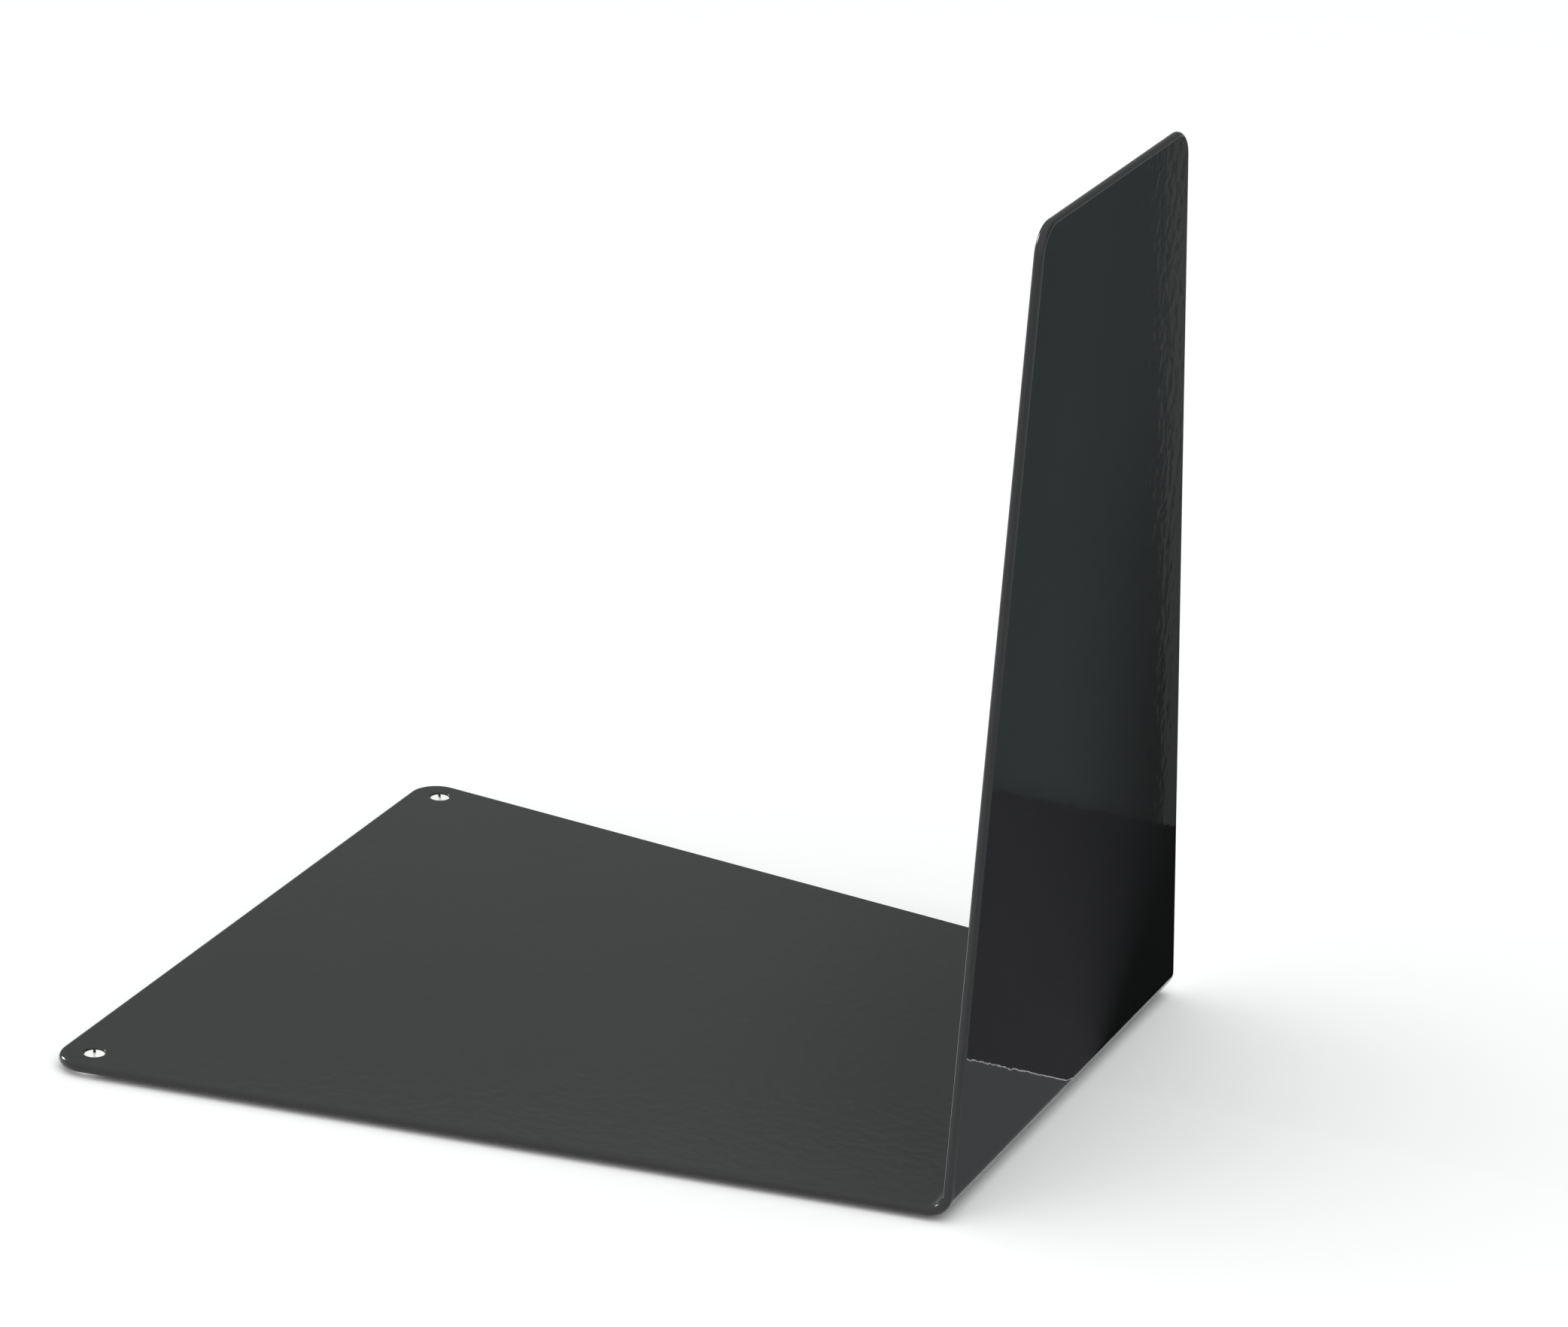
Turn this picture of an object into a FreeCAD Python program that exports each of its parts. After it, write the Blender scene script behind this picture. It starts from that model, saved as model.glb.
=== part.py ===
import FreeCAD, Part
import math
import os

# Book end: one steel sheet, cut as a long trapezium and folded square.
# The wide half lies under the books and the narrow half stands beside them.
# Millimetres. X runs from the free edge of the base towards the upright,
# Y is across the sheet, Z is up. The origin is under the middle of the whole, on the shelf.

Vector = FreeCAD.Vector

# --- driving dimensions ---
BASE_DEPTH = 150.0        # free edge of the base to the outside of the upright
UPRIGHT_HEIGHT = 155.3    # underside of the base to the top edge of the upright
FREE_WIDTH = 134.0        # sheet width at the free edge of the base
TOP_WIDTH = 61.0          # sheet width at the top edge of the upright
SHEET = 1.7               # 1.5 mm steel with its coat on both faces
BEND_INNER_R = 2.1        # inside of the fold
CORNER_R = 5.2            # the four rounded corners of the sheet
EDGE_R = 0.8              # the coat rounds the cut edge almost to a half circle

HOLE_D = 3.5              # foot holes near the free corners
HOLE_FROM_FREE_EDGE = 5.8
HOLE_FROM_SIDE = 5.1
HOLE_RIM = 0.25           # the coat eases the upper rim of each hole

FOOT_H = 0.8              # what the feet and pads lift the sheet off the shelf
FOOT_FLANGE_D = 7.4
FOOT_FLANGE_EDGE_R = 0.3
STEM_RECESS = 0.3         # the stem ends this far below the top of the base
STEM_EDGE_R = 0.2
STEM_SLOT_W = 0.45
STEM_SLOT_DEPTH = 0.6
STEM_SLOT_TURN = 30.0     # degrees from straight across the sheet

PAD_D = 10.0
PAD_EDGE_R = 0.25
PAD_FROM_BEND = 9.0       # pad centre to the start of the fold
PAD_FROM_SIDE = 9.0       # pad centre to the side edge

BEND_SECTIONS = 9         # cross-sections that the fold is drawn through

# --- worked out from them ---
X_FREE = -BASE_DEPTH / 2
X_BACK = BASE_DEPTH / 2
Z_UNDER = FOOT_H
Z_TOP = Z_UNDER + UPRIGHT_HEIGHT
BEND_OUTER_R = BEND_INNER_R + SHEET
BEND_MID_R = BEND_INNER_R + SHEET / 2
BASE_FLAT = BASE_DEPTH - BEND_OUTER_R
UPRIGHT_FLAT = UPRIGHT_HEIGHT - BEND_OUTER_R
BEND_LENGTH = BEND_MID_R * math.pi / 2
BLANK_LENGTH = BASE_FLAT + BEND_LENGTH + UPRIGHT_FLAT
TAPER = (FREE_WIDTH - TOP_WIDTH) / 2 / BLANK_LENGTH
SIDE_ANGLE = math.atan(TAPER)
X_BEND = X_FREE + BASE_FLAT
Z_BEND = Z_UNDER + BEND_OUTER_R


def half_width(along):
    """Half the blank's width at this distance from its free edge."""
    return FREE_WIDTH / 2 - TAPER * along


def plate_outline(start_half, length, end_sign):
    """Closed wire of one flat half in its own plane: u from 0, the rounded end, to length, the fold.
    end_sign is +1 where the sheet narrows towards the fold and -1 where it widens."""
    side = end_sign * SIDE_ANGLE
    turn = math.pi / 2 + side
    centre_v = start_half - math.tan(side) * CORNER_R - CORNER_R / math.cos(side)
    end_half = start_half - math.tan(side) * length

    def on_arc(angle, sign):
        u = CORNER_R - CORNER_R * math.cos(angle)
        return Vector(u, sign * (centre_v + CORNER_R * math.sin(angle)), 0)

    near, far = -1, 1
    edges = [
        Part.makeLine(on_arc(0, near), on_arc(0, far)),
        Part.Arc(on_arc(0, far), on_arc(turn / 2, far), on_arc(turn, far)).toShape(),
        Part.makeLine(on_arc(turn, far), Vector(length, end_half, 0)),
        Part.makeLine(Vector(length, end_half, 0), Vector(length, -end_half, 0)),
        Part.makeLine(Vector(length, -end_half, 0), on_arc(turn, near)),
        Part.Arc(on_arc(turn, near), on_arc(turn / 2, near), on_arc(0, near)).toShape(),
    ]
    return Part.Wire(edges)


def plate(start_half, length, end_sign):
    """One flat half, lying on z = 0, its outer edges rounded and its fold end left square."""
    blank = Part.Face(plate_outline(start_half, length, end_sign)).extrude(Vector(0, 0, SHEET))
    rims = []
    for edge in blank.Edges:
        box = edge.BoundBox
        level = box.ZLength < 1e-6
        at_fold = box.XMin > length - 1e-6
        if level and not at_fold:
            rims.append(edge)
    return blank.makeFillet(EDGE_R, rims)


def narrowed(section, by):
    """A section of the sheet with both its sides brought in, and its two long edges shortened."""
    def brought_in(point):
        return point - Vector(0, math.copysign(by, point.y), 0)

    edges = []
    for edge in section.OrderedEdges:
        box = edge.BoundBox
        if box.YMin < 0 < box.YMax:
            ends = [brought_in(v.Point) for v in (edge.firstVertex(True), edge.lastVertex(True))]
            edges.append(Part.makeLine(*ends))
        else:
            edges.append(edge.translated(Vector(0, -math.copysign(by, box.Center.y), 0)))
    return Part.Wire(edges)


def fold_section(end_wire, share):
    """The base's end section turned this share of the way round the fold and narrowed to suit."""
    section = narrowed(end_wire, TAPER * share * BEND_LENGTH)
    section.rotate(Vector(X_BEND, 0, Z_BEND), Vector(0, 1, 0), -90 * share)
    return section


def folded_sheet():
    """The whole sheet: base, fold and upright in one solid, with its two foot holes."""
    base = plate(half_width(0), BASE_FLAT, 1)
    base.translate(Vector(X_FREE, 0, Z_UNDER))
    upright = plate(half_width(BLANK_LENGTH), UPRIGHT_FLAT, -1)
    upright.rotate(Vector(0, 0, 0), Vector(0, 1, 0), 90)
    upright.translate(Vector(X_BACK - SHEET, 0, Z_TOP))
    fold_start = max(base.Faces, key=lambda face: face.BoundBox.XMin).OuterWire
    shares = [i / (BEND_SECTIONS - 1) for i in range(BEND_SECTIONS)]
    fold = Part.makeLoft([fold_section(fold_start, share) for share in shares], True, False)
    sheet = base.fuse([fold, upright]).removeSplitter()
    for y in (-foot_y(), foot_y()):
        sheet = sheet.cut(foot_hole(y))
    return sheet


def foot_x():
    return X_FREE + HOLE_FROM_FREE_EDGE


def foot_y():
    return half_width(HOLE_FROM_FREE_EDGE) - HOLE_FROM_SIDE / math.cos(SIDE_ANGLE)


def foot_hole(y):
    """What is cut for a foot: the bore, with its upper rim eased by the coat."""
    top = Z_UNDER + SHEET
    r = HOLE_D / 2
    profile = [
        (0, Z_UNDER - 1),
        (r, Z_UNDER - 1),
        (r, top - HOLE_RIM),
        (r + HOLE_RIM, top),
        (r + HOLE_RIM, top + 1),
        (0, top + 1),
    ]
    points = [Vector(foot_x() + across, y, z) for across, z in profile]
    face = Part.Face(Part.makePolygon(points + points[:1]))
    return face.revolve(Vector(foot_x(), y, 0), Vector(0, 0, 1), 360)


def push_in_foot(y):
    """Soft plastic foot: a thin round flange under the sheet and a split stem up through it."""
    stem_top = Z_UNDER + SHEET - STEM_RECESS
    x = foot_x()
    flange = Part.makeCylinder(FOOT_FLANGE_D / 2, FOOT_H, Vector(x, y, 0))
    flange = flange.makeFillet(FOOT_FLANGE_EDGE_R, circles_at(flange, 0))
    stem = Part.makeCylinder(HOLE_D / 2, stem_top - Z_UNDER, Vector(x, y, Z_UNDER))
    stem = stem.makeFillet(STEM_EDGE_R, circles_at(stem, stem_top))
    slot_low = Vector(x - STEM_SLOT_W / 2, y - HOLE_D, stem_top - STEM_SLOT_DEPTH)
    slot = Part.makeBox(STEM_SLOT_W, 2 * HOLE_D, SHEET, slot_low)
    slot.rotate(Vector(x, y, 0), Vector(0, 0, 1), STEM_SLOT_TURN)
    return flange.fuse(stem.cut(slot)).removeSplitter()


def circles_at(solid, z):
    """The round edges of a turned solid that lie level at this height."""
    found = []
    for edge in solid.Edges:
        box = edge.BoundBox
        if box.ZLength < 1e-6 and abs(box.ZMin - z) < 1e-6:
            found.append(edge)
    return found


def bend_pad(side):
    """Self-adhesive round pad under the base, close to the fold."""
    x = X_BEND - PAD_FROM_BEND
    y = side * (half_width(BASE_FLAT - PAD_FROM_BEND) - PAD_FROM_SIDE)
    pad = Part.makeCylinder(PAD_D / 2, FOOT_H, Vector(x, y, 0))
    return pad.makeFillet(PAD_EDGE_R, circles_at(pad, 0))


def main():
    nodes = {
        "folded_sheet": folded_sheet(),
        "near_push_in_foot": push_in_foot(-foot_y()),
        "far_push_in_foot": push_in_foot(foot_y()),
        "near_bend_pad": bend_pad(-1),
        "far_bend_pad": bend_pad(1),
    }
    os.makedirs("parts", exist_ok=True)
    for name, shape in nodes.items():
        shape.exportStep(f"parts/{name}.step")
        box = shape.optimalBoundingBox()
        print(name, "valid" if shape.isValid() else "NOT VALID", f"{shape.Volume:.1f} mm3",
              f"{len(shape.Solids)} solid", f"x {box.XMin:.2f}..{box.XMax:.2f}",
              f"y {box.YMin:.2f}..{box.YMax:.2f}", f"z {box.ZMin:.2f}..{box.ZMax:.2f}")


main()
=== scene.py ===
import math

import bmesh
import bpy
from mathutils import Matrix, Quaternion, Vector


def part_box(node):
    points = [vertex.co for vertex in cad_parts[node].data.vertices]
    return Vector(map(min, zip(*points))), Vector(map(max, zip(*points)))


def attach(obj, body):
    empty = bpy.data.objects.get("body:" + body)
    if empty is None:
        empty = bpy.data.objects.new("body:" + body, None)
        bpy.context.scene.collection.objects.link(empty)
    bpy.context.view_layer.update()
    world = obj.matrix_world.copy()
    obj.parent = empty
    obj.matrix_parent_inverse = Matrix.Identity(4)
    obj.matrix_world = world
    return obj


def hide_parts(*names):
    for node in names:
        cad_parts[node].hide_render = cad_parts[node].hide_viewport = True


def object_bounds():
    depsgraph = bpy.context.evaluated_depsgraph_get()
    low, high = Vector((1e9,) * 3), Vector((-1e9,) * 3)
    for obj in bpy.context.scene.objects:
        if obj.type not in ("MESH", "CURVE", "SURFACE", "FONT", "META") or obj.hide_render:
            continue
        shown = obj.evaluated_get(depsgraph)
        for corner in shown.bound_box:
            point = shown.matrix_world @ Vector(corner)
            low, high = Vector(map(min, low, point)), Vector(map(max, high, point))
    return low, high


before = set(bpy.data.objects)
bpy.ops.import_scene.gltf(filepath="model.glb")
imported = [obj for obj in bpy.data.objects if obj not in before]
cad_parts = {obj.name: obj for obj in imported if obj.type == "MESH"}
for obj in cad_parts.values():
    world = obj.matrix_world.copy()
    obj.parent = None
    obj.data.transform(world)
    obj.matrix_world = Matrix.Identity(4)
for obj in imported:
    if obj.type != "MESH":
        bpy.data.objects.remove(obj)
cad_low, cad_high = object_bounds()
MM = 0.001

# --- the sheet, in millimetres, as the CAD has it ---
FREE_WIDTH = 134.0
TOP_WIDTH = 61.0
SHEET = 1.7
BEND_INNER_R = 2.1
CORNER_R = 5.2
EDGE_R = 0.8
HOLE_R = 1.75
HOLE_RIM = 0.25
HOLE_UNDER_RIM = 0.06     # the lower rim, under the foot's flange, is only just eased
HOLE_FROM_FREE_EDGE = 5.8
HOLE_FROM_SIDE = 5.1
BEND_BULGE = 0.10         # the squeezed inner half of the fold swells at both sides

# --- how finely it is drawn ---
EDGE_STEPS = 10           # across each rounded edge, from the middle of the sheet to its face
CORNER_STEPS = 28
BEND_STEPS = 40
SIDE_STEPS = 24
HOLE_STEPS = 72
RIM_STEPS = 4
CORNER_CLEAR = 1.5        # a side's own points start this many corner radii from its end

sheet_low, sheet_high = (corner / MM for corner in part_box("folded_sheet"))
X_FREE = sheet_low.x
X_BACK = sheet_high.x
Z_UNDER = sheet_low.z
Z_TOP = sheet_high.z
BEND_MID_R = BEND_INNER_R + SHEET / 2
BEND_OUTER_R = BEND_INNER_R + SHEET
X_BEND = X_BACK - BEND_OUTER_R
Z_BEND = Z_UNDER + BEND_OUTER_R
BASE_FLAT = X_BEND - X_FREE
BEND_LENGTH = BEND_MID_R * math.pi / 2
BEND_END = BASE_FLAT + BEND_LENGTH
BLANK_LENGTH = BEND_END + Z_TOP - Z_BEND
TAPER = (FREE_WIDTH - TOP_WIDTH) / 2 / BLANK_LENGTH
SIDE_ANGLE = math.atan(TAPER)


def half_width(s):
    """Half the blank's width at this distance from its free edge."""
    return FREE_WIDTH / 2 - TAPER * s


def folded(s, v, w):
    """Where a point of the flat blank goes: s along it, v across it, w up from its middle level."""
    if s <= BASE_FLAT:
        return Vector((X_FREE + s, v, Z_UNDER + SHEET / 2 + w))
    if s >= BEND_END:
        return Vector((X_BACK - SHEET / 2 - w, v, Z_BEND + s - BEND_END))
    turn = (s - BASE_FLAT) / BEND_MID_R
    radius = BEND_MID_R - w
    return Vector((X_BEND + radius * math.sin(turn), v, Z_BEND - radius * math.cos(turn)))


def folded_normal(s, n):
    """The direction n of the flat blank, turned with the sheet at s."""
    turn = min(max((s - BASE_FLAT) / BEND_MID_R, 0), math.pi / 2)
    along, across, up = n
    return Vector((along * math.cos(turn) - up * math.sin(turn), across,
                   along * math.sin(turn) + up * math.cos(turn)))


def corner(centre_s, centre_v, radius, start, end):
    """Points and outward directions round one corner of the outline."""
    found = []
    for i in range(CORNER_STEPS + 1):
        a = start + (end - start) * i / CORNER_STEPS
        found.append((centre_s + radius * math.cos(a), centre_v + radius * math.sin(a),
                      math.cos(a), math.sin(a)))
    return found


def side_stations():
    """Distances along the blank where a side has a point between its two corners."""
    low, high = CORNER_R * CORNER_CLEAR, BLANK_LENGTH - CORNER_R * CORNER_CLEAR
    flat = [low + (BASE_FLAT - low) * i / SIDE_STEPS for i in range(SIDE_STEPS)]
    bend = [BASE_FLAT + BEND_LENGTH * i / BEND_STEPS for i in range(BEND_STEPS)]
    rise = [BEND_END + (high - BEND_END) * i / SIDE_STEPS for i in range(SIDE_STEPS + 1)]
    return flat + bend + rise


def outline(inset):
    """The blank's outline brought in by inset: (s, v, outward s, outward v) in order round it."""
    radius = CORNER_R - inset
    free_s = CORNER_R
    free_v = half_width(0) - math.tan(SIDE_ANGLE) * CORNER_R - CORNER_R / math.cos(SIDE_ANGLE)
    top_s = BLANK_LENGTH - CORNER_R
    top_v = half_width(top_s) - CORNER_R / math.cos(SIDE_ANGLE)
    side_turn = math.pi / 2 - SIDE_ANGLE
    out_s, out_v = math.sin(SIDE_ANGLE), math.cos(SIDE_ANGLE)
    far = [(s, half_width(s) - inset / out_v, out_s, out_v) for s in side_stations()]
    points = corner(free_s, free_v, radius, math.pi, side_turn)
    points += far
    points += corner(top_s, top_v, radius, side_turn, 0)
    mirrored = [(s, -v, a, -b) for s, v, a, b in reversed(points)]
    return points + mirrored


def bulge(s):
    """How far the side stands out at the inside of the fold."""
    if not BASE_FLAT < s < BEND_END:
        return 0
    return BEND_BULGE * math.sin(math.pi * (s - BASE_FLAT) / BEND_LENGTH) ** 2


def loop_at(bm, normals, inset, w, tilt):
    """One closed ring of vertices round the sheet; tilt is 0 facing outward and 1 facing up or down."""
    ring = []
    for s, v, out_s, out_v in outline(inset):
        swell = bulge(s) * max(w, 0) / (SHEET / 2)
        vert = bm.verts.new(folded(s, v + math.copysign(swell, v), w) * MM)
        out = math.cos(tilt)
        normals.append(folded_normal(s, (out * out_s, out * out_v, math.sin(tilt))))
        ring.append(vert)
    return ring


def bridge(bm, lower, upper):
    """Joins two closed rings of the same number of vertices with a band of faces."""
    count = len(lower)
    for i in range(count):
        j = (i + 1) % count
        bm.faces.new((lower[i], upper[i], upper[j], lower[j]))


def hole_ring(bm, normals, centre_s, centre_v, radius, w, normal):
    """A ring of vertices round a foot hole; normal is (inward share, up share)."""
    ring = []
    for i in range(HOLE_STEPS):
        a = 2 * math.pi * i / HOLE_STEPS
        s, v = centre_s + radius * math.cos(a), centre_v + radius * math.sin(a)
        ring.append(bm.verts.new(folded(s, v, w) * MM))
        inward, up = normal
        normals.append(folded_normal(s, (-inward * math.cos(a), -inward * math.sin(a), up)))
    return ring


def hole(bm, normals, v):
    """The wall and two eased rims of one foot hole. Returns its rings in the top and bottom faces."""
    half = SHEET / 2
    rings = []
    for side, rim in ((-1, HOLE_UNDER_RIM), (1, HOLE_RIM)):
        turns = [math.pi / 2 * i / RIM_STEPS for i in range(RIM_STEPS + 1)]
        for a in reversed(turns) if side < 0 else turns:
            radius = HOLE_R + rim * (1 - math.cos(a))
            w = side * (half - rim * (1 - math.sin(a)))
            rings.append(hole_ring(bm, normals, HOLE_FROM_FREE_EDGE, v, radius, w,
                                   (math.cos(a), side * math.sin(a))))
    for lower, upper in zip(rings, rings[1:]):
        bridge(bm, upper, lower)
    return rings[-1], rings[0]


def flat_cap(bm, ring, holes, flip):
    """Fills one face of the sheet: strips across the fold, and a triangulated flat on each side."""
    count = len(ring) // 2
    first = CORNER_STEPS + 1 + SIDE_STEPS
    last = first + BEND_STEPS
    for i in range(first, last):
        a, b = ring[i], ring[i + 1]
        c, d = ring[2 * count - 2 - i], ring[2 * count - 1 - i]
        bm.faces.new((a, b, c, d) if flip else (d, c, b, a))
    base = ring[:first + 1] + ring[2 * count - 1 - first:]
    rise = ring[last:2 * count - last]
    for loop, rims in ((base, holes), (rise, [])):
        edges = []
        for ring_part in [loop] + rims:
            size = len(ring_part)
            for i in range(size):
                pair = (ring_part[i], ring_part[(i + 1) % size])
                edges.append(bm.edges.get(pair) or bm.edges.new(pair))
        bmesh.ops.triangle_fill(bm, use_beauty=True, edges=edges)


def coated_sheet():
    """The folded sheet with its rounded edges, swelled fold and foot holes, as one closed mesh."""
    bm = bmesh.new()
    normals = []
    half = SHEET / 2
    rings = []
    for side in (-1, 1):
        steps = range(EDGE_STEPS, -1, -1) if side < 0 else range(EDGE_STEPS + 1)
        for i in steps:
            tilt = math.pi / 2 * i / EDGE_STEPS
            inset = EDGE_R * (1 - math.cos(tilt))
            w = side * (half - EDGE_R + EDGE_R * math.sin(tilt))
            rings.append(loop_at(bm, normals, inset, w, side * tilt))
    for lower, upper in zip(rings, rings[1:]):
        bridge(bm, lower, upper)
    foot_v = half_width(HOLE_FROM_FREE_EDGE) - HOLE_FROM_SIDE / math.cos(SIDE_ANGLE)
    tops, bottoms = zip(*(hole(bm, normals, side * foot_v) for side in (-1, 1)))
    flat_cap(bm, rings[-1], list(tops), True)
    flat_cap(bm, rings[0], list(bottoms), False)
    bmesh.ops.recalc_face_normals(bm, faces=bm.faces)
    mesh = bpy.data.meshes.new("coated_sheet")
    bm.to_mesh(mesh)
    bm.free()
    mesh.shade_smooth()
    mesh.normals_split_custom_set_from_vertices([n.normalized() for n in normals])
    piece = bpy.data.objects.new("coated_sheet", mesh)
    bpy.context.scene.collection.objects.link(piece)
    return piece


# --- nodes ---
class NodeWriter:
    """Adds nodes to one tree. Any value fed to one may be a number or another node's output."""

    def __init__(self, tree):
        self.nodes, self.links = tree.nodes, tree.links

    def feed(self, socket, value):
        if isinstance(value, (int, float)):
            socket.default_value = value
        else:
            self.links.new(value, socket)

    def math(self, operation, a, b):
        node = self.nodes.new("ShaderNodeMath")
        node.operation = operation
        self.feed(node.inputs[0], a)
        self.feed(node.inputs[1], b)
        return node.outputs[0]

    def mix(self, share, a, b):
        node = self.nodes.new("ShaderNodeMix")
        self.feed(node.inputs["Factor"], share)
        self.feed(node.inputs["A"], a)
        self.feed(node.inputs["B"], b)
        return node.outputs["Result"]

    def fade(self, value, start, end, shape="SMOOTHSTEP"):
        """Turns value into a result that runs from start to end, pairs of (value, result), and is
        held beyond them."""
        node = self.nodes.new("ShaderNodeMapRange")
        node.interpolation_type = shape
        self.feed(node.inputs["Value"], value)
        self.feed(node.inputs["From Min"], start[0])
        self.feed(node.inputs["To Min"], start[1])
        self.feed(node.inputs["From Max"], end[0])
        self.feed(node.inputs["To Max"], end[1])
        return node.outputs["Result"]

    def coordinates(self, kind):
        """The x, y and z outputs of one kind of texture coordinates."""
        place = self.nodes.new("ShaderNodeTexCoord")
        parts = self.nodes.new("ShaderNodeSeparateXYZ")
        self.feed(parts.inputs["Vector"], place.outputs[kind])
        return parts.outputs


# --- materials ---
NOISE_LOW, NOISE_HIGH = 0.3, 0.7     # between these lies nearly all of a noise texture
ENAMEL_IOR = 1.5                     # the coat's index of refraction


class Finish(NodeWriter):
    """A procedural material whose patterns lie in the object's own coordinates, in metres."""

    def __init__(self, name):
        self.material = bpy.data.materials.new(name)
        self.material.use_nodes = True
        super().__init__(self.material.node_tree)
        self.shader = self.nodes["Principled BSDF"]
        self.place = self.nodes.new("ShaderNodeTexCoord").outputs["Object"]

    def noise(self, scale, detail, rough=0.5):
        texture = self.nodes.new("ShaderNodeTexNoise")
        self.feed(texture.inputs["Vector"], self.place)
        self.feed(texture.inputs["Scale"], scale)
        self.feed(texture.inputs["Detail"], detail)
        self.feed(texture.inputs["Roughness"], rough)
        return texture.outputs["Fac"]

    def bumped(self, height, distance, under=None):
        """The normal raised by height times distance, over the bump under it if there is one."""
        bump = self.nodes.new("ShaderNodeBump")
        self.feed(bump.inputs["Distance"], distance)
        self.feed(bump.inputs["Height"], height)
        if under is not None:
            self.feed(bump.inputs["Normal"], under)
        return bump.outputs["Normal"]

    def set_colour(self, value, low, high):
        ramp = self.nodes.new("ShaderNodeValToRGB")
        ends = ((NOISE_LOW, low), (NOISE_HIGH, high))
        for element, (position, colour) in zip(ramp.color_ramp.elements, ends):
            element.position = position
            element.color = (*colour, 1)
        self.feed(ramp.inputs["Fac"], value)
        self.feed(self.shader.inputs["Base Color"], ramp.outputs["Color"])

    def set_roughness(self, value, low, high):
        roughness = self.fade(value, (NOISE_LOW, low), (NOISE_HIGH, high), shape="LINEAR")
        self.feed(self.shader.inputs["Roughness"], roughness)

    def set_normal(self, normal):
        self.feed(self.shader.inputs["Normal"], normal)


def enamel():
    """Black-grey stoved enamel: a mirror gloss over fine orange peel and a longer ripple, with a
    faint handling haze."""
    finish = Finish("stoved_enamel")
    shade = finish.noise(scale=45, detail=4)
    finish.set_colour(shade, low=(0.0052, 0.0055, 0.0055), high=(0.0064, 0.0067, 0.0067))
    finish.set_roughness(finish.noise(scale=60, detail=5, rough=0.6), low=0.024, high=0.040)
    ripple = finish.bumped(finish.noise(scale=450, detail=1.5), distance=0.000018)
    peel = finish.bumped(finish.noise(scale=1200, detail=2), distance=0.0000018, under=ripple)
    finish.set_normal(peel)
    finish.shader.inputs["IOR"].default_value = ENAMEL_IOR
    return finish.material


def foot_plastic():
    """White soft plastic with a fine moulded grain."""
    finish = Finish("white_foot_plastic")
    shade = finish.noise(scale=900, detail=3)
    finish.set_colour(shade, low=(0.86, 0.86, 0.84), high=(0.92, 0.92, 0.91))
    finish.set_roughness(shade, low=0.38, high=0.52)
    finish.set_normal(finish.bumped(finish.noise(scale=5200, detail=2), distance=0.000006))
    return finish.material


def pad_rubber():
    """Matt dark rubber, slightly cellular."""
    finish = Finish("pad_rubber")
    shade = finish.noise(scale=1400, detail=4)
    finish.set_colour(shade, low=(0.020, 0.020, 0.021), high=(0.040, 0.040, 0.041))
    finish.set_roughness(shade, low=0.72, high=0.90)
    finish.set_normal(finish.bumped(finish.noise(scale=2600, detail=3), distance=0.000020))
    return finish.material


def dress(obj, material):
    """Gives an object this one material."""
    obj.data.materials.clear()
    obj.data.materials.append(material)


sheet = coated_sheet()
dress(sheet, enamel())
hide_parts("folded_sheet")
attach(sheet, "root")
plastic, rubber = foot_plastic(), pad_rubber()
for side in ("near", "far"):
    dress(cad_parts[side + "_push_in_foot"], plastic)
    dress(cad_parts[side + "_bend_pad"], rubber)


# --- camera: angles in degrees, lens in millimetres, the rest in metres ---
CAMERA_AZIMUTH = 23.222
CAMERA_ELEVATION = 21.304
CAMERA_ROLL = -2.205
CAMERA_DISTANCE = 0.9985
CAMERA_AIM = Vector((0.0211, 0.0035, 0.0649))
CAMERA_LENS = 142.5

azimuth, elevation = math.radians(CAMERA_AZIMUTH), math.radians(CAMERA_ELEVATION)
back = Vector((math.sin(azimuth) * math.cos(elevation), -math.cos(azimuth) * math.cos(elevation),
               math.sin(elevation)))
camera = bpy.data.objects.new("camera", bpy.data.cameras.new("camera"))
bpy.context.scene.collection.objects.link(camera)
bpy.context.scene.camera = camera
camera.data.lens = CAMERA_LENS
camera.location = CAMERA_AIM + back * CAMERA_DISTANCE
camera.rotation_mode = "QUATERNION"
camera.rotation_quaternion = ((-back).to_track_quat("-Z", "Y")
                              @ Quaternion((0, 0, 1), math.radians(-CAMERA_ROLL)))


# --- floor ---
FLOOR_HALF = 4.0
FLOOR_COLOUR = (0.93, 0.93, 0.93, 1)
FLOOR_ROUGHNESS = 0.9


def board(name, corners, z):
    """A flat level stage board at height z with these four corners, in metres."""
    mesh = bpy.data.meshes.new(name)
    mesh.from_pydata([(x, y, z) for x, y in corners], [], [(0, 1, 2, 3)])
    made = bpy.data.objects.new(name, mesh)
    bpy.context.scene.collection.objects.link(made)
    return made


def rectangle(x_low, y_low, x_high, y_high):
    """The corners of a board that lies square to the axes."""
    return [(x_low, y_low), (x_high, y_low), (x_high, y_high), (x_low, y_high)]


def pale_floor():
    """A plain pale matt surface."""
    material = bpy.data.materials.new("pale_floor")
    material.use_nodes = True
    shader = material.node_tree.nodes["Principled BSDF"]
    shader.inputs["Base Color"].default_value = FLOOR_COLOUR
    shader.inputs["Roughness"].default_value = FLOOR_ROUGHNESS
    return material


dress(board("floor", rectangle(-FLOOR_HALF, -FLOOR_HALF, FLOOR_HALF, FLOOR_HALF), z=0), pale_floor())


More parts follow.
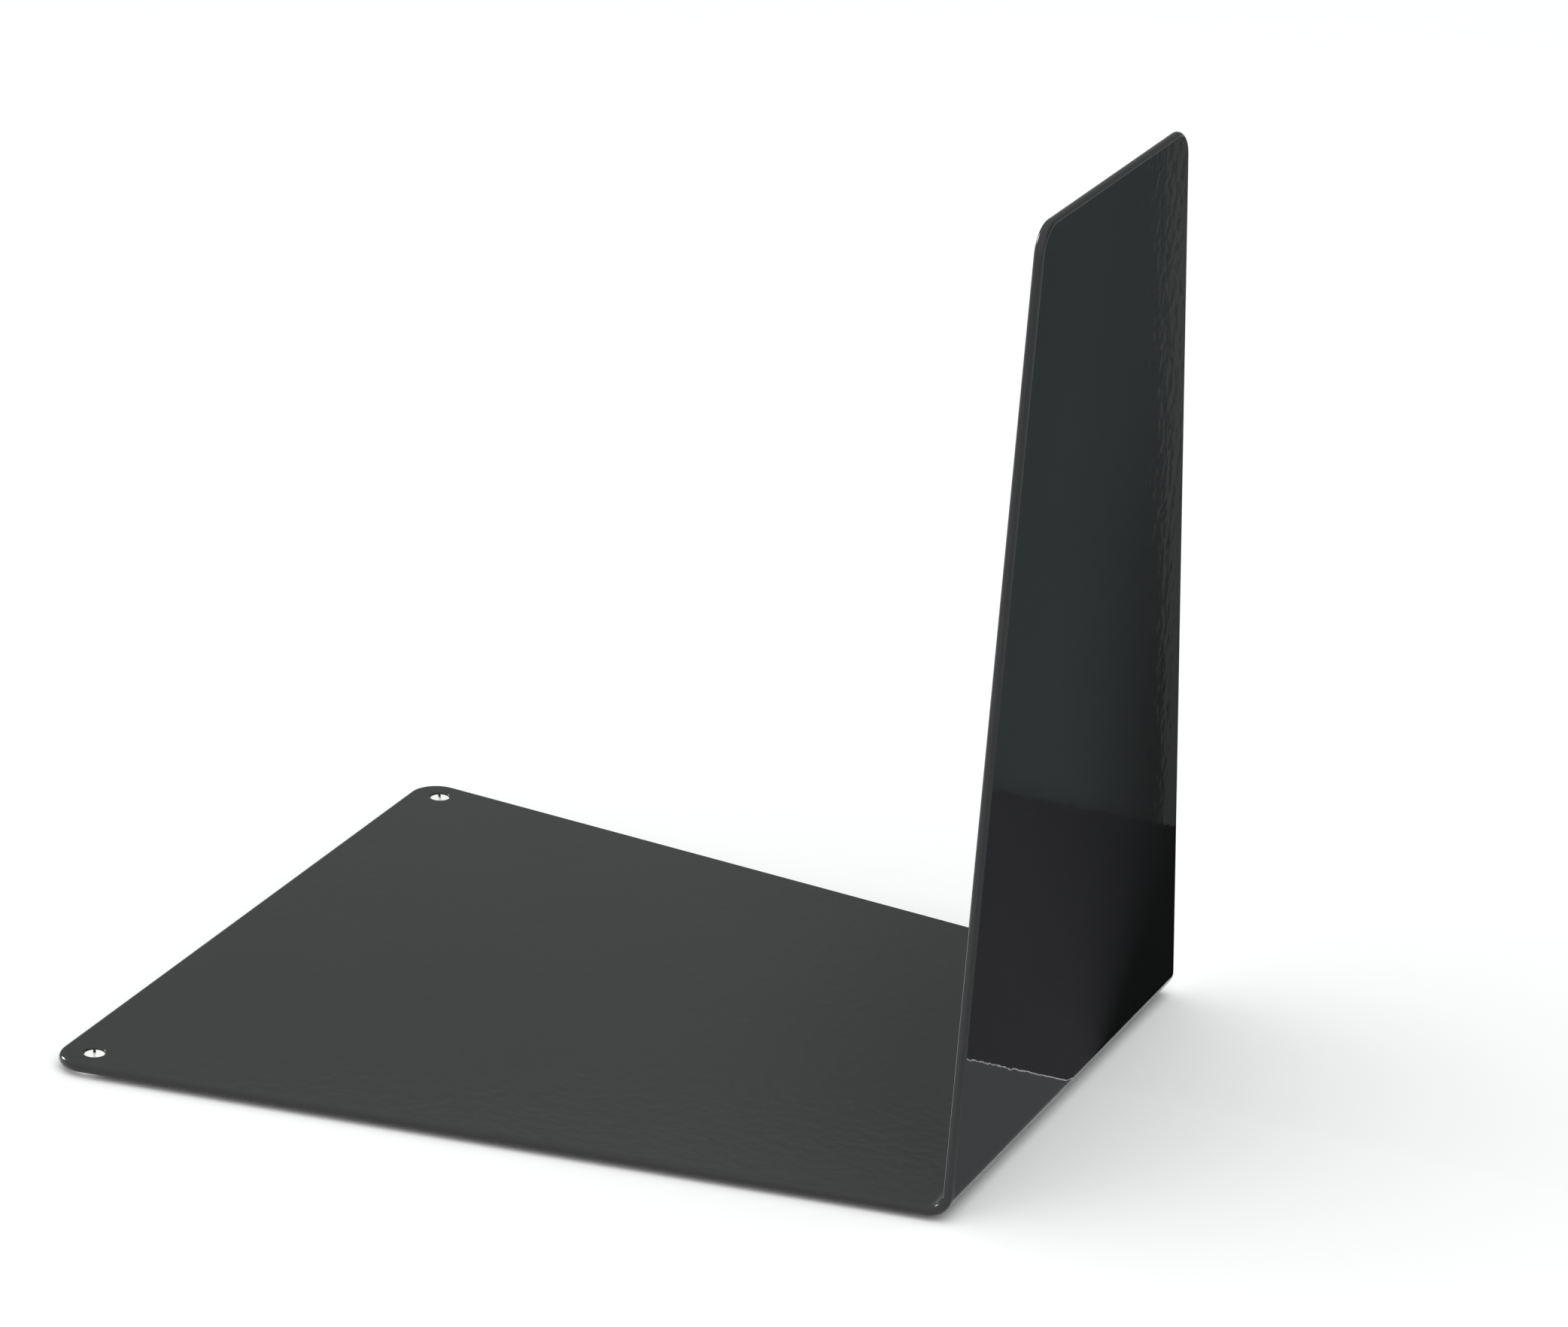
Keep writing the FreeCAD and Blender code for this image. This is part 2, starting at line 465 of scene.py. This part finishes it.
# --- reflector boards ---
# The outer face of the upright mirrors the table on its own side: pale at first, then shadowed by
# the upright, then dim, with a lighter strip along the upright's line. These boards lie on the floor
# and stand in for that table. Only gloss sees them. Their glow is painted light and shade, with a
# painted shadow of the upright. Places are in metres.
BOARD_Z = 0.0003          # just clear of the floor
SIDE_X = 0.0757           # the boards' side next to the upright, just clear of it
PALE_END_Y = 0.0080       # the pale board ends here, in a narrow painted highlight
EDGE_END_Y = 0.0084
DIM_Y = 0.117             # the table is shadowed up to here and dim beyond
SHADOW_FROM_Y = 0.014     # the painted shadow's lines of even strength fan out from here
OPEN_FROM_Y = -0.044      # and those of the open table, on the near side, from here
STRIP_X = 0.1030          # the lighter strip's border at DIM_Y
STRIP_LEAN = 0.373        # and how far it leans out for each metre beyond
STRIP_FAR_X = STRIP_X + STRIP_LEAN * (FLOOR_HALF - DIM_Y)
SLOPE_LEAST_X = 0.0005    # keeps a slope finite at the upright

# How strength fades over a board, from one pair of (place, strength) to another.
SHADED = 0.106                                      # where the painted shadow is lightest
PALE_FADE = (0.105, 0.235), (0.20, SHADED)          # along x
EDGE_FADE = (0.10, 1.6), (0.16, SHADED)             # along x
SHADOW_FADE = (0.80, SHADED), (4.65, 0.007)         # by slope from SHADOW_FROM_Y
DIM_INNER_FADE = (0.094, 0.045), (0.44, 0.130)      # along y, next to the strip
DIM_OUTER_FADE = (0.111, 0.108), (0.128, 0.152)     # along y, clear of the strip
DIM_INNER, DIM_OUTER = 0.101, 0.126                 # how far aside each of those two holds
STRIP_FADE = (0.05, 0.098), (0.42, 0.210)           # along y

# What the painted light adds where the upright no longer shades the table, in the same pairs.
OPEN_TABLE = 0.74                                   # where nothing shades it
BESIDE_FADE = (-0.4, OPEN_TABLE), (1.95, 0.0)       # by slope from OPEN_FROM_Y
BEYOND_FADE = (0.135, 0.0), (0.420, OPEN_TABLE)     # by how far aside
FAR_OFF_FADE = (0.55, 0.0), (1.6, 0.40)             # along y


def gloss_only(thing):
    """Hides an object or a light from everything but mirror reflections."""
    thing.visible_camera = False
    thing.visible_diffuse = False
    thing.visible_shadow = False
    thing.visible_transmission = False


class Glow(NodeWriter):
    """A reflector board that only gloss sees, glowing with painted light and shade: an even tint and a
    strength that nodes set.
    """

    def __init__(self, name, corners, tint):
        made = board(name, corners, BOARD_Z)
        gloss_only(made)
        material = bpy.data.materials.new(name)
        material.use_nodes = True
        super().__init__(material.node_tree)
        self.nodes.remove(self.nodes["Principled BSDF"])
        self.light = self.nodes.new("ShaderNodeEmission")
        self.light.inputs["Color"].default_value = (*tint, 1)
        self.feed(self.nodes["Material Output"].inputs["Surface"], self.light.outputs["Emission"])
        self.x, self.y, _ = self.coordinates("Object")
        dress(made, material)

    def slope(self, from_y):
        """How far a point lies across from from_y, for each metre out from the upright."""
        out = self.math("MAXIMUM", self.math("SUBTRACT", self.x, cad_high.x), SLOPE_LEAST_X)
        return self.math("DIVIDE", self.math("SUBTRACT", self.y, from_y), out)

    def aside(self):
        """How far out a point lies, less how far the strip's border leans out there."""
        run = self.math("MAXIMUM", self.math("SUBTRACT", self.y, DIM_Y), 0.0)
        return self.math("SUBTRACT", self.x, self.math("MULTIPLY", run, STRIP_LEAN))

    def set_strength(self, strength):
        """Sets the painted strength, brighter where the upright no longer shades the table."""
        beside = self.fade(self.slope(OPEN_FROM_Y), *BESIDE_FADE)
        beyond = self.fade(self.aside(), *BEYOND_FADE)
        far_off = self.fade(self.y, *FAR_OFF_FADE)
        opened = self.math("MAXIMUM", self.math("MAXIMUM", beside, beyond), far_off)
        self.feed(self.light.inputs["Strength"], self.math("ADD", strength, opened))


pale = Glow("pale_board", rectangle(SIDE_X, -FLOOR_HALF, FLOOR_HALF, PALE_END_Y),
            tint=(0.97, 0.99, 1.03))
pale.set_strength(pale.fade(pale.x, *PALE_FADE))

# A narrow painted highlight along the pale board's edge.
edge = Glow("pale_board_edge", rectangle(SIDE_X, PALE_END_Y, FLOOR_HALF, EDGE_END_Y),
            tint=(1.0, 1.0, 1.0))
edge.set_strength(edge.fade(edge.x, *EDGE_FADE))

# A painted shadow of the upright, darkest close to it and fanning out from SHADOW_FROM_Y.
table = Glow("painted_shadow_table", rectangle(SIDE_X, EDGE_END_Y, FLOOR_HALF, DIM_Y),
             tint=(0.98, 0.98, 1.10))
table.set_strength(table.fade(table.slope(SHADOW_FROM_Y), *SHADOW_FADE))

dim = Glow("dim_table", [(STRIP_X, DIM_Y), (FLOOR_HALF, DIM_Y), (FLOOR_HALF, FLOOR_HALF),
                         (STRIP_FAR_X, FLOOR_HALF)],
           tint=(0.90, 1.02, 1.04))
by_strip = dim.fade(dim.y, *DIM_INNER_FADE)
clear_of_strip = dim.fade(dim.y, *DIM_OUTER_FADE)
dim.set_strength(dim.fade(dim.aside(), (DIM_INNER, by_strip), (DIM_OUTER, clear_of_strip)))

strip = Glow("light_strip", [(SIDE_X, DIM_Y), (STRIP_X, DIM_Y), (STRIP_FAR_X, FLOOR_HALF),
                             (SIDE_X, FLOOR_HALF)],
             tint=(0.98, 1.02, 1.0))
strip.set_strength(strip.fade(strip.y, *STRIP_FADE))


# --- dome ---
# How bright and tinted each direction is. Its x, y and z are those of a line of length 1; y points
# away from the camera's side. Fades are pairs again, of such a value and its result.
OVERHEAD = 1.17                                     # strength
FRONT_FADE = (0.0, 0.97), (0.5, 1.05)               # strength along z, on the camera's side
BACK_FADE = (-0.375, 0.44), (-0.325, 0.36)          # strength along x, behind the object
BACK_GAIN_FADE = (0.425, 0.0), (0.442, 0.06)        # what that gains along z
BACK_SHARE_FADE = (-0.10, 0.0), (0.40, 1.0)         # how much is behind, along y
OVERHEAD_SHARE_FADE = (0.108, 0.0), (0.95, 1.0)     # how much is overhead, along the lean
LEAN_UP, LEAN_BACK = 0.94, 0.35                     # the overhead part leans to the camera's side
FRONT_TINT = (0.99, 1.0, 0.99, 1)
BACK_TINT = (0.955, 1.0, 0.985, 1)


def studio_dome():
    """A plain dome: bright overhead and on the camera's side, dim low down behind the object."""
    world = bpy.data.worlds.new("studio")
    world.use_nodes = True
    sky = NodeWriter(world.node_tree)
    x, y, z = sky.coordinates("Generated")
    back_share = sky.fade(y, *BACK_SHARE_FADE)
    front = sky.fade(z, *FRONT_FADE)
    behind = sky.math("ADD", sky.fade(x, *BACK_FADE), sky.fade(z, *BACK_GAIN_FADE))
    leaning = sky.math("SUBTRACT", sky.math("MULTIPLY", z, LEAN_UP), sky.math("MULTIPLY", y, LEAN_BACK))
    overhead_share = sky.fade(leaning, *OVERHEAD_SHARE_FADE, shape="LINEAR")
    strength = sky.mix(overhead_share, sky.mix(back_share, front, behind), OVERHEAD)
    tint = sky.nodes.new("ShaderNodeMix")
    tint.data_type = "RGBA"
    tint.inputs["A"].default_value = FRONT_TINT
    tint.inputs["B"].default_value = BACK_TINT
    sky.feed(tint.inputs["Factor"], back_share)
    background = sky.nodes["Background"]
    sky.feed(background.inputs["Color"], tint.outputs["Result"])
    sky.feed(background.inputs["Strength"], strength)
    return world


bpy.context.scene.world = studio_dome()


# --- lights ---
def soft_box(name, direction, distance, size, power):
    """A square area light that faces the origin, where the object stands; metres and watts."""
    light = bpy.data.objects.new(name, bpy.data.lights.new(name, "AREA"))
    bpy.context.scene.collection.objects.link(light)
    light.data.size = size
    light.data.energy = power
    light.location = direction.normalized() * distance
    light.rotation_mode = "QUATERNION"
    light.rotation_quaternion = (-direction).to_track_quat("-Z", "Y")
    return light


# The large box overhead lights the scene and isn't mirrored. The small one, low on the free edge's
# side, only puts highlights on the gloss.
overhead_box = soft_box("overhead_box", direction=Vector((0.25, -0.15, 1.0)),
                        distance=1.6, size=1.6, power=6.5)
overhead_box.visible_glossy = False
low_box = soft_box("low_box", direction=Vector((-0.90, 0.12, 0.40)),
                   distance=1.2, size=0.34, power=5.4)
gloss_only(low_box)

bpy.context.scene.view_settings.view_transform = "Standard"
